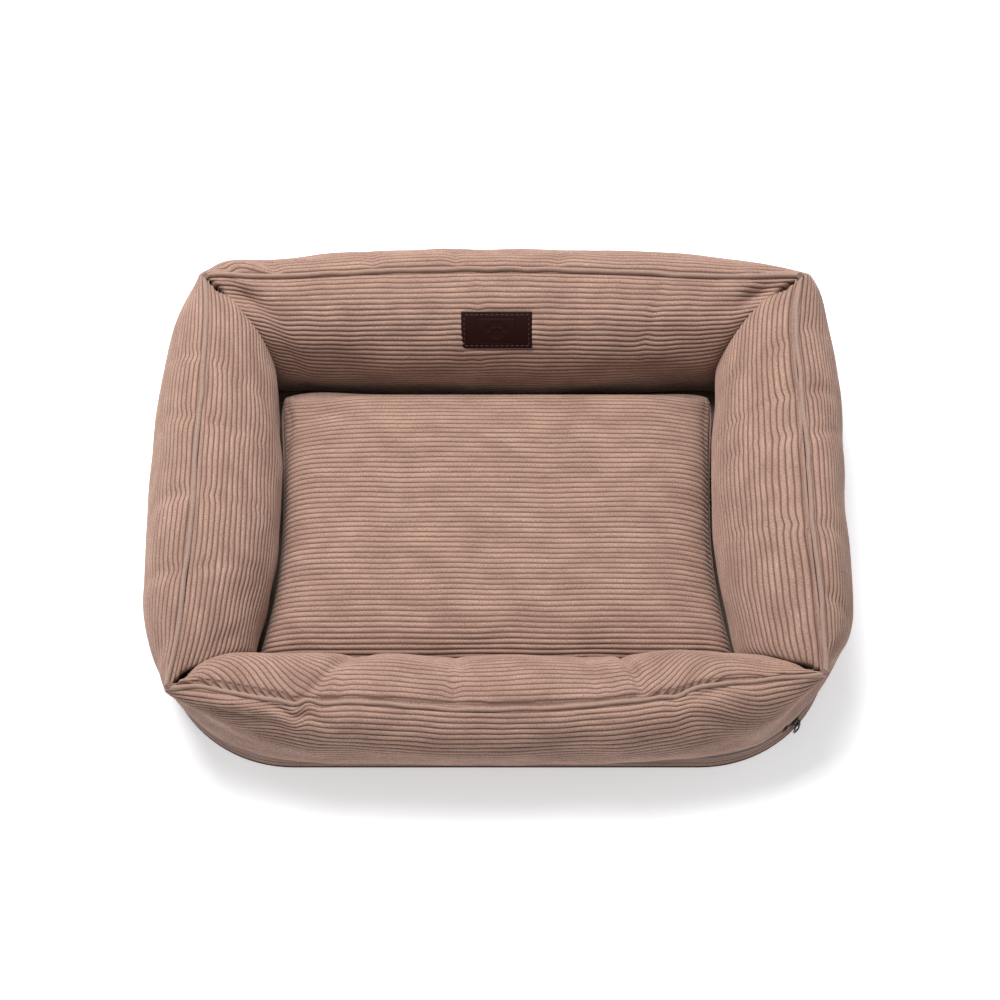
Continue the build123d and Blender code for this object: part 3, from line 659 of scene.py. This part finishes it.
def innerPanel(name):
    # one wall's inner cloth: its section at each share along the wall, then relief, with rounded ends
    # an end falls by deep times (1 less the root of 1 - inside squared), and folds back behind the mitre
    onEnd = name in ("rear", "front")
    step = 2.0 if name == "front" else 3.6
    share = np.linspace(-1, 1, int(walls["lengths"][name] / step))
    share = share * (1.2 - 0.2 * share ** 2)  # closer together at the ends
    plan = wallPlan(name, share)
    reach = sectionCurve(plan, "inner")[2][-1]
    flat = ribRows(reach.max())
    line = seamLine(plan)
    run = runLength(line)
    rows = np.minimum(flat[:, None] + 0 * run[None], reach[None])
    along = line[None, :, 0 if onEnd else 1] + 0 * rows
    base = clothSurface(plan, "inner", rows)
    outward = np.concatenate([plan["way"], 0.6 + 0 * run[:, None]], 1)[None] + 0 * base
    push = np.zeros(rows.shape)
    carry = np.zeros(rows.shape)
    for side, toEnd in ((0, run), (1, run[-1] - run)):
        deep, length = innerEnds[name]["tuck"][side]
        inside = np.clip(1 - toEnd / length, 0, 1)[None]
        fall = deep * (1 - np.sqrt(1 - inside ** 2)) + relief["foldBack"] * smoothStep((inside - 0.9) / 0.1)
        push = push - fall * smoothStep((rows - 2) / 14)
        past = (2 * side - 1) * innerEnds[name]["reach"][side]
        carry = carry + past * smoothStep(1 - toEnd / 70)[None] * smoothStep((rows - 5) / 34)
    base[..., 0 if onEnd else 1] += carry
    seat = None
    if name == "rear":
        seat = smoothStep((label["across"] / 2 + 4.5 - np.abs(along - labelMiddle)) / 5)
        seat = seat * smoothStep((label["deep"] / 2 + 4.5 - np.abs(rows - labelRow)) / 5)
        push = push - label["seat"] * seat
    seed = {"rear": 11, "front": 23, "left": 37, "right": 41}[name]
    shaped, across = shapeCloth(base, rows, along, name + "Inner", outward, push, seed, flat=seat)
    mesh = gridMesh(name + "InnerPanel", pullWalls(shaped), np.stack([run[None] + 0 * rows, across], -1),
                    flip=name in ("front", "right"))
    weld(mesh)
    smoothShade(mesh)
    piece = newObject(name + "InnerPanel", mesh, wallCord, "bed")
    thicken(piece, cord["backing"])
    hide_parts(name + "_wall_inner_panel", name + "_wall_fill")


for name in ("rear", "front", "left", "right"):
    innerPanel(name)
print("inner panels made")


def ringPlan(step):
    # the four walls' sections one after another: front, right, rear, left, anticlockwise from above
    parts = []
    for name, forward in (("front", True), ("right", True), ("rear", False), ("left", False)):
        share = np.linspace(-1, 1, int(walls["lengths"][name] / step), endpoint=False)
        plan = wallPlan(name, share if forward else -share)
        plan["name"] = np.full(len(share), name)
        parts.append(plan)
    ring = {key: np.concatenate([p[key] for p in parts]) for key in parts[0]}
    ring["foot"] = baseInset(ring)
    # the cloth hangs over the zip, and is cut back round the front right corner, where the slider runs
    x, y = ring["outer"].T
    (fromX, fromY), length = walls["zipRoomFrom"], walls["zipRoomRun"]
    ring["lift"] = walls["zipRoom"] * smoothStep((x - fromX) / length) * smoothStep((-y - fromY) / length)
    return ring


def outerPanel():
    # the outer cloth, one band round all four walls, each wall with its own folds
    ring = ringPlan(3.2)
    reach = sectionCurve(ring, "outer")[2][-1]
    flat = ribRows(reach.max())
    line = seamLine(ring)
    run = runLength(np.concatenate([line, line[:1]]))
    rows = np.minimum(flat[:, None] + 0 * line[None, :, 0], reach[None])
    base = clothSurface(ring, "outer", rows)
    outward = np.concatenate([-ring["way"], 0.6 + 0 * line[:, :1]], 1)[None] + 0 * base
    onEnds = np.isin(ring["name"], ("front", "rear"))
    along = np.where(onEnds, line[:, 0], line[:, 1])[None] + 0 * rows
    total, acrossAll = np.zeros(base.shape), np.zeros(rows.shape)
    for wall in ("front", "right", "rear", "left"):
        shaped, across = shapeCloth(base, rows, along, wall + "Outer", outward, 0 * rows, 8, wrap=True)
        here = (ring["name"] == wall)[None]
        total, acrossAll = np.where(here[..., None], shaped, total), np.where(here, across, acrossAll)
    total = pullWalls(total)
    inward = np.concatenate([ring["way"], 0 * line[:, :1]], 1)[None]
    hem = total[-1:] + walls["hem"] * inward  # turned in at the foot
    total = np.concatenate([total, hem])
    acrossAll = np.concatenate([acrossAll, acrossAll[-1:] + walls["hem"]])
    cloth = np.stack(np.broadcast_arrays(run[None], np.concatenate([acrossAll, acrossAll[:, :1]], 1)), -1)
    mesh = gridMesh("outerPanel", total, cloth, wrap=True)
    weld(mesh)
    smoothShade(mesh)
    piece = newObject("outerPanel", mesh, wallCord, "bed")
    thicken(piece, cord["backing"])
    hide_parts("walls_outer_panel")


outerPanel()
print("outer panel made")


# The welt is the raised seam on top of the walls.
welt = {
    "across": 2.3, "up": 3.4, "sides": 12, "sink": 2.1, "outward": 1.6,
    "waverUp": 0.5, "waverAcross": 0.8,
}


def weltRing():  # the seam's line, moved a little outwards and down, with a slight waver
    ring = ringPlan(4.0)
    line = seamLine(ring)
    line[:, :2] -= welt["outward"] * ring["way"]
    line[:, 2] += -welt["sink"] + welt["waverUp"] * smoothNoise(line, 3, 60, 16)
    line[:, :2] += welt["waverAcross"] * smoothNoise(line, 4, 90, 22)[:, None] * ring["way"]
    return pullWalls(line)


weltLine = weltRing()
weltMesh = tubeMesh("topWelt", weltLine, (welt["across"], welt["up"]), welt["sides"], True)
topWelt = newObject("topWelt", weltMesh, weltPile, "bed")
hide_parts("rear_wall_welt", "front_wall_welt", "left_wall_welt", "right_wall_welt")
print("welt made")

# Bar tacks close the corners.
tack = {"long": 7.0, "thick": 0.45, "bars": 5, "pitch": 0.95, "arch": 0.7, "turn": 0.8, "above": 0.9}


def tackPath(corner, turn, shift):  # a short bar that arches like half a cosine
    along = np.linspace(-0.5, 0.5, 7)
    ahead = along * tack["long"]
    arch = tack["arch"] * np.cos(np.pi * along)
    x, y = ahead * cos(turn) - shift * sin(turn), ahead * sin(turn) + shift * cos(turn)
    return corner + np.stack([x, y, arch], -1)


tackPoints, tackQuads = [], []
for end, sideways in (("rear", 1), ("rear", -1), ("front", 1), ("front", -1)):
    back = 1 if end == "rear" else -1
    spot = seamCorners[end] * np.array([sideways, back])
    spot = pullWalls(np.array([spot[0], spot[1], walls["heights"][end][0] + tack["above"]]))
    for bar in range(tack["bars"]):
        path = tackPath(spot, tack["turn"] * sideways * back, (bar - tack["bars"] // 2) * tack["pitch"])
        work = tubeMesh("tackBar", path, (tack["thick"], tack["thick"]), 6, False)
        co = np.empty(len(work.vertices) * 3, np.float32)
        work.vertices.foreach_get("co", co)
        tackPoints.append(co.reshape(-1, 3) / mm)
        tackQuads.append([list(p.vertices) for p in work.polygons])
        bpy.data.meshes.remove(work)
starts = np.concatenate([[0], np.cumsum([len(p) for p in tackPoints])])
tackMesh = bpy.data.meshes.new("cornerTacks")
tackFaces = [[v + int(start) for v in face] for start, faces in zip(starts, tackQuads) for face in faces]
tackMesh.from_pydata((np.concatenate(tackPoints) * mm).tolist(), [], tackFaces)
smoothShade(tackMesh)
cornerTacks = newObject("cornerTacks", tackMesh, thread, "bed")
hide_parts("corner_tacks")
print("tacks made")


stitch = {"long": 3.2, "thick": 0.42, "pitch": 5.0, "margin": 3.0, "rings": 9, "sides": 8}


def labelPatch():
    # a plate on a half-millimetre grid: a rounded rim, a stitched channel near it and a pressed paw mark
    u = np.linspace(-label["across"] / 2, label["across"] / 2, 141)[None]
    v = np.linspace(-label["deep"] / 2, label["deep"] / 2, 77)[:, None]
    edge = np.minimum(label["across"] / 2 - np.abs(u), label["deep"] / 2 - np.abs(v))
    top = label["thick"] - 0.5 * np.exp(-edge / 0.5)
    top = top - 0.35 * np.exp(-((edge - stitch["margin"]) / 0.55) ** 2)
    pads = [((0, -3.2), (6.2, 4.6)), ((-8.2, 2.2), (2.4, 3.2)), ((-3.2, 6.2), (2.4, 3.4)),
            ((3.2, 6.2), (2.4, 3.4)), ((8.2, 2.2), (2.4, 3.2))]
    for (x, y), (rx, ry) in pads:
        top = top - 0.5 * smoothStep((1.12 - np.hypot((u - x) / rx, (v - y) / ry)) / 0.2)
    frameLine = np.abs(np.maximum(np.abs(u) - label["frame"][0], np.abs(v) - label["frame"][1]))
    top = top - 0.4 * np.exp(-(frameLine / 0.6) ** 2)
    bow = 0.25 * smoothNoise(np.stack(np.broadcast_arrays(u, v, 0 * u), -1), 2, 80, 30) - label["under"]
    face, back = onLabel(u, v, top + bow), onLabel(u, v, bow)
    rim = np.concatenate([back[:1], face, back[-1:]], 0)
    left, right = rim[:, :1].copy(), rim[:, -1:].copy()
    left[1:-1], right[1:-1] = back[:, :1], back[:, -1:]
    mesh = gridMesh("labelPatch", np.concatenate([left, rim, right], 1), flip=True)
    weld(mesh)
    smoothShade(mesh)
    piece = newObject("labelPatch", mesh, leather, "bed")
    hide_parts("label_patch")


def labelStitches():
    # each stitch is shaped like a grain of rice: half a turn of a cosine along it,
    # and across it a circle times the root of the sine
    halfU, halfV = label["across"] / 2 - stitch["margin"], label["deep"] / 2 - stitch["margin"]
    alongU = np.arange(-halfU + stitch["pitch"] / 2, halfU, stitch["pitch"])
    alongV = np.arange(-halfV + stitch["pitch"] / 2, halfV, stitch["pitch"])
    level = [np.stack([alongU, side * halfV + 0 * alongU, 0 * alongU], -1) for side in (-1, 1)]
    standing = [np.stack([side * halfU + 0 * alongV, alongV, 0 * alongV + 1], -1) for side in (-1, 1)]
    places = np.concatenate(level + standing)
    s = np.linspace(0, np.pi, stitch["rings"])[:, None]
    turn = np.linspace(0, 2 * np.pi, stitch["sides"], endpoint=False)[None]
    long = -stitch["long"] / 2 * np.cos(s) + 0 * turn
    radius = stitch["thick"] * np.sqrt(np.sin(s))
    wide, tall = radius * np.cos(turn), radius * np.sin(turn)
    x, y, upright = (places[:, k, None, None] for k in range(3))
    u = x + np.where(upright > 0, wide, long)
    v = y + np.where(upright > 0, long, -wide)
    points = onLabel(u, v, tall + label["thick"] - label["under"] - 0.2)
    i, j = np.meshgrid(np.arange(stitch["rings"] - 1), np.arange(stitch["sides"]), indexing="ij")
    i, j = i.ravel(), j.ravel()
    corners = [(i, j), (i, j + 1), (i + 1, j + 1), (i + 1, j)]
    quads = np.stack([r * stitch["sides"] + c % stitch["sides"] for r, c in corners], 1)
    first = np.arange(len(places)) * stitch["rings"] * stitch["sides"]
    quads = (quads[None] + first[:, None, None]).reshape(-1, 4)
    mesh = meshFrom("labelStitches", points.reshape(-1, 3), quads)
    weld(mesh, 0.005)
    smoothShade(mesh)
    piece = newObject("labelStitches", mesh, labelThread, "bed")
    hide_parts("label_stitching")


labelStitches()
labelPatch()
print("label made")

coverLow, coverHigh = nodeBox("cushion_top_cover")
underLow, underHigh = nodeBox("cushion_bottom_cover")
cushion = {
    "seam": (coverLow[2] + underHigh[2]) / 2, "top": 92.5, "floor": underLow[2],
    "rear": coverHigh[1], "front": coverLow[1], "clear": 2.6, "roundPlan": 0.014,
    "topPowers": (12.0, 6.0), "topRoot": 0.42, "underPowers": (16.0, 14.0), "underRoot": 0.5,
    "rearBulge": 6.0, "piping": (1.6, 1.9), "wander": 0.6, "clothStart": 400,
}
# Hollows in the seat: (x, y), (half sizes), turn, depth. A negative depth stands proud.
seatDents = [
    ((-190, 100), (30, 22), 30, 9.0), ((196, 96), (24, 28), -20, 5.0), ((-20, -150), (20, 8), 0, 3.5),
    ((90, -152), (18, 8), 0, 3.5), ((0, 112), (170, 16), 0, 3.0), ((-60, -40), (80, 60), 0, -1.5),
    ((200, -60), (14, 80), 0, 3.0), ((60, -60), (60, 50), 0, 1.2),
]


def openingAt(y):  # half the width between the side walls' inner bellies
    rear, front = innerCorners["rear"], innerCorners["front"]
    middle = (rear[1] - front[1]) / 2
    return threeWay((y - middle) / (rear[1] - middle), front[0], walls["openSide"], rear[0])


def cushionSheet(a, b, height, powers, root, bulge):
    # a and b run from -1 to 1; the height is (1 - |a| ^ p) times (1 - |b| ^ q), raised to root
    middle = (cushion["rear"] + cushion["front"]) / 2
    halfDeep = (cushion["rear"] - cushion["front"]) / 2
    fallA = np.clip(1 - np.abs(a) ** powers[0], 0, 1) ** root
    fallB = np.clip(1 - np.abs(b) ** powers[1], 0, 1) ** root
    fall = fallA * fallB
    y = middle + halfDeep * b * (1 - cushion["roundPlan"] * np.abs(a) ** 10)
    y = y + bulge * np.sin(np.pi * fallB) * smoothStep((b - 0.55) / 0.4)
    halfWide = openingAt(y) - cushion["clear"]
    x = halfWide * a * (1 - cushion["roundPlan"] * np.abs(b) ** 12)
    return np.stack([x, y, cushion["seam"] + height * fall], -1)


def edgeSpread(count):  # -1 to 1, much closer together at both ends
    t = np.linspace(-1, 1, count)
    return np.sin(t * np.pi / 2) * 0.75 + t * 0.25


def cushionCover(name, height, node, powers, root, bulge, seed, lively):
    # rows lie evenly along the middle section's arc, so that the ribs keep their width over the edge
    fine = np.sin(np.linspace(-np.pi / 2, np.pi / 2, 4001))
    middle = cushionSheet(np.zeros(4001), fine, height, powers, root, bulge)
    length = runLength(middle)
    flat = np.arange(0, length[-1], cord["wale"] / cord["perRib"])
    flat = np.concatenate([flat, [length[-1]]])
    b = np.interp(flat, length, fine)[:, None]
    a = edgeSpread(140 if height > 0 else 90)[None] + 0 * b
    b = b + 0 * a
    base = cushionSheet(a, b, height, powers, root, bulge)
    outward = np.array([0, 0, np.sign(height)]) + 0 * base
    edge = np.minimum(1 - np.abs(a), 1 - np.abs(b))
    push = lively * smoothNoise(base * np.array([1, 1, 0]), seed, 190, 60) * smoothStep(edge / 0.2)
    if height > 0:
        push = push - dentField(base[..., 0], base[..., 1], seatDents)
    shaped = base + push[..., None] * facing(base, outward) * smoothStep(edge / 0.01)[..., None]
    stray = cushion["wander"] * smoothNoise(base * np.array([1, 1, 0]), seed + 4, 170, 50)
    stray = stray * smoothStep(edge / 0.05)
    across = flat[:, None] + stray
    crown = ribHeight(across) * (1 + cord["uneven"] * smoothNoise(base, seed + 9, 30, 9))
    crown = crown * smoothStep(edge / 0.006)
    shaped = shaped + crown[..., None] * facing(shaped, outward)
    cloth = np.stack([base[..., 0] + cushion["clothStart"], across], -1)
    mesh = gridMesh(name, shaped, cloth, flip=height > 0)
    smoothShade(mesh)
    piece = newObject(name, mesh, wallCord, "cushion")
    thicken(piece, cord["backing"])
    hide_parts(node)
    return piece


cushionCover("cushionTop", cushion["top"] - cushion["seam"], "cushion_top_cover",
             cushion["topPowers"], cushion["topRoot"], cushion["rearBulge"], 61, 1.1)
underCover = cushionCover("cushionUnder", cushion["floor"] - cushion["seam"], "cushion_bottom_cover",
                          cushion["underPowers"], cushion["underRoot"], 0.0, 71, 0.0)
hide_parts("cushion_bottom_cover", "cushion_fill")


def cushionEdge():  # the rim where the two covers meet, walked once round
    ends, sides = edgeSpread(120), edgeSpread(90)
    one = np.ones(120), np.ones(90)
    a = np.concatenate([ends[:-1], one[1][:-1], ends[::-1][:-1], -one[1][:-1]])
    b = np.concatenate([-one[0][:-1], sides[:-1], one[0][:-1], sides[::-1][:-1]])
    return cushionSheet(a, b, 0.0, (7, 7), 1.0, 0.0)


pipingMesh = tubeMesh("cushionPiping", cushionEdge(), cushion["piping"], 8, True)
edgePiping = newObject("cushionPiping", pipingMesh, weltPile, "cushion")
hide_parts("cushion_piping")
print("cushion made")

# The base band is the strip of corduroy round the bottom.
band = {
    "ribs": 3, "ribShare": 0.8, "bulge": 1.2, "inset": 1.0, "cornerPoints": 40, "points": 520,
    "turnIn": 7.0, "facing": 17.0,
}


def baseOutline(inset):
    # a rounded rectangle walked anticlockwise from the start of its front right corner, at even steps
    halfX, halfY = walls["baseHalf"][0] - inset, walls["baseHalf"][1] - inset
    corner = walls["baseCorner"] - inset
    turn = np.linspace(0, np.pi / 2, band["cornerPoints"])
    arcs = []
    for k, (sx, sy) in enumerate(((1, -1), (1, 1), (-1, 1), (-1, -1))):
        angle = turn + (k - 1) * np.pi / 2
        x = sx * (halfX - corner) + corner * np.cos(angle)
        y = sy * (halfY - corner) + corner * np.sin(angle)
        arcs.append(np.stack([x, y], -1))
    line = np.concatenate(arcs + [arcs[0][:1]])
    run = runLength(line)
    even = np.linspace(0, run[-1], band["points"], endpoint=False)
    return np.stack([np.interp(even, run, line[:, 0]), np.interp(even, run, line[:, 1])], -1), run[-1]


def baseBand():
    # three ribs high, with a sine's bulge out of the base's outline
    line, total = baseOutline(band["inset"])
    tangent = np.roll(line, -1, 0) - np.roll(line, 1, 0)
    out = np.stack([tangent[:, 1], -tangent[:, 0]], -1)
    out = out / np.linalg.norm(out, axis=1, keepdims=True)
    low, high = bandLow[2], bandHigh[2]
    rows = np.linspace(0, high - low, band["ribs"] * cord["perRib"] + 1)[:, None]
    swell = band["bulge"] * np.sin(np.pi * rows / (high - low)) + 0 * line[None, :, 0]
    across = rows * band["ribs"] * cord["wale"] / (high - low) + 0 * line[None, :, 0]
    spot = line[None] + (swell + ribHeight(across) * band["ribShare"])[..., None] * out[None]
    shaped = np.concatenate([spot, low + rows[..., None] + 0 * spot[..., :1]], -1)
    # the band's top turns in under the zip and up behind it
    behind = np.concatenate([line - band["turnIn"] * out, high + 0 * line[:, :1]], 1)[None]
    shaped = np.concatenate([shaped, behind, behind + np.array([0, 0, band["facing"]])])
    last = across[-1:] + band["turnIn"]
    across = np.concatenate([across, last, last + band["facing"]])
    runs = np.linspace(0, total, len(line) + 1)
    cloth = np.stack(np.broadcast_arrays(runs[None], np.concatenate([across, across[:, :1]], 1)), -1)
    mesh = gridMesh("baseBand", shaped, cloth, wrap=True, flip=True)
    smoothShade(mesh)
    piece = newObject("baseBand", mesh, wallCord, "bed")
    thicken(piece, cord["backing"])
    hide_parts("base_band")


baseBand()
print("base band made")

view = {
    "elevation": 64.0, "distance": 2.85, "target": (0.0034, 0.022, 0.050),
    "lens": 102.9, "sensor": 36, "clipEnd": 200,
}
camera = bpy.data.cameras.new("camera")
camera.lens = view["lens"]
camera.sensor_width = view["sensor"]
camera.clip_end = view["clipEnd"]
cameraPiece = bpy.data.objects.new("camera", camera)
bpy.context.scene.collection.objects.link(cameraPiece)
rise = radians(view["elevation"])
cameraPiece.location = (view["target"][0], view["target"][1] - view["distance"] * cos(rise),
                        view["target"][2] + view["distance"] * sin(rise))
cameraPiece.rotation_euler = (np.pi / 2 - rise, 0, 0)
bpy.context.scene.camera = cameraPiece

# Places and sizes of the lights are in metres and their power in watts; the floor's half size is in mm.
studio = {
    "floorHalf": 60000.0, "floorGlow": 0.45, "aim": (0, 0, 0.1), "world": 0.36,
    "key": ((-0.45, 0.7, 2.4), 1.3, 88), "fill": ((0.9, -0.6, 2.6), 2.2, 4),
}
# Matt white paper, made smooth and uncoated. It glows a little, so that it shows white with a faint shadow.
floorMaterial = plainMaterial("paleStudioFloor", "#F4F5F6", 0.9)
floorSurface = floorMaterial.node_tree.nodes["Principled BSDF"]
floorSurface.inputs["Emission Color"].default_value = linear("#F8FAFC")
floorSurface.inputs["Emission Strength"].default_value = studio["floorGlow"]
floorCorners = studio["floorHalf"] * np.array([[-1, -1, 0], [1, -1, 0], [1, 1, 0], [-1, 1, 0]])
floorMesh = meshFrom("studioFloor", floorCorners, np.array([[0, 1, 2, 3]]))
floorPiece = bpy.data.objects.new("studioFloor", floorMesh)
bpy.context.scene.collection.objects.link(floorPiece)
floorMesh.materials.append(floorMaterial)


def areaLight(name, place, size, power):  # a soft square light that faces the bed
    light = bpy.data.lights.new(name, "AREA")
    light.size = size
    light.energy = power
    piece = bpy.data.objects.new(name, light)
    bpy.context.scene.collection.objects.link(piece)
    piece.location = place
    direction = np.array(studio["aim"]) - np.array(place)
    flat = np.hypot(direction[0], direction[1])
    heading = np.arctan2(direction[1], direction[0]) - np.pi / 2
    piece.rotation_euler = (np.arctan2(flat, -direction[2]), 0, heading)


areaLight("keyLight", *studio["key"])
areaLight("fillLight", *studio["fill"])
world = bpy.data.worlds.new("studio")
bpy.context.scene.world = world
world.use_nodes = True
world.node_tree.nodes["Background"].inputs[0].default_value = linear("#FAFBFC")
world.node_tree.nodes["Background"].inputs[1].default_value = studio["world"]
bpy.context.scene.view_settings.view_transform = "Standard"
print("camera and lights placed")

# Finishes for the frame's own pieces, by node.
finishes = {
    "base_sole": soleCloth, "base_pad": fibreFill, "base_lining": liningCloth,
    "base_zip_stop": zipMetal, "base_zip_slider": zipMetal, "base_zip_pull": zipMetal,
    "cushion_zip_stops": zipMetal, "cushion_zip_slider": zipMetal, "cushion_zip_pull": zipMetal,
}
for node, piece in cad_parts.items():
    material = finishes.get(node)
    if material is None and "tape" in node:
        material = tapeCloth
    if material is None and "coil" in node:
        material = coilNylon
    if material is not None:
        piece.data.materials.clear()
        piece.data.materials.append(material)
print("finishes set")

bpy.context.view_layer.update()
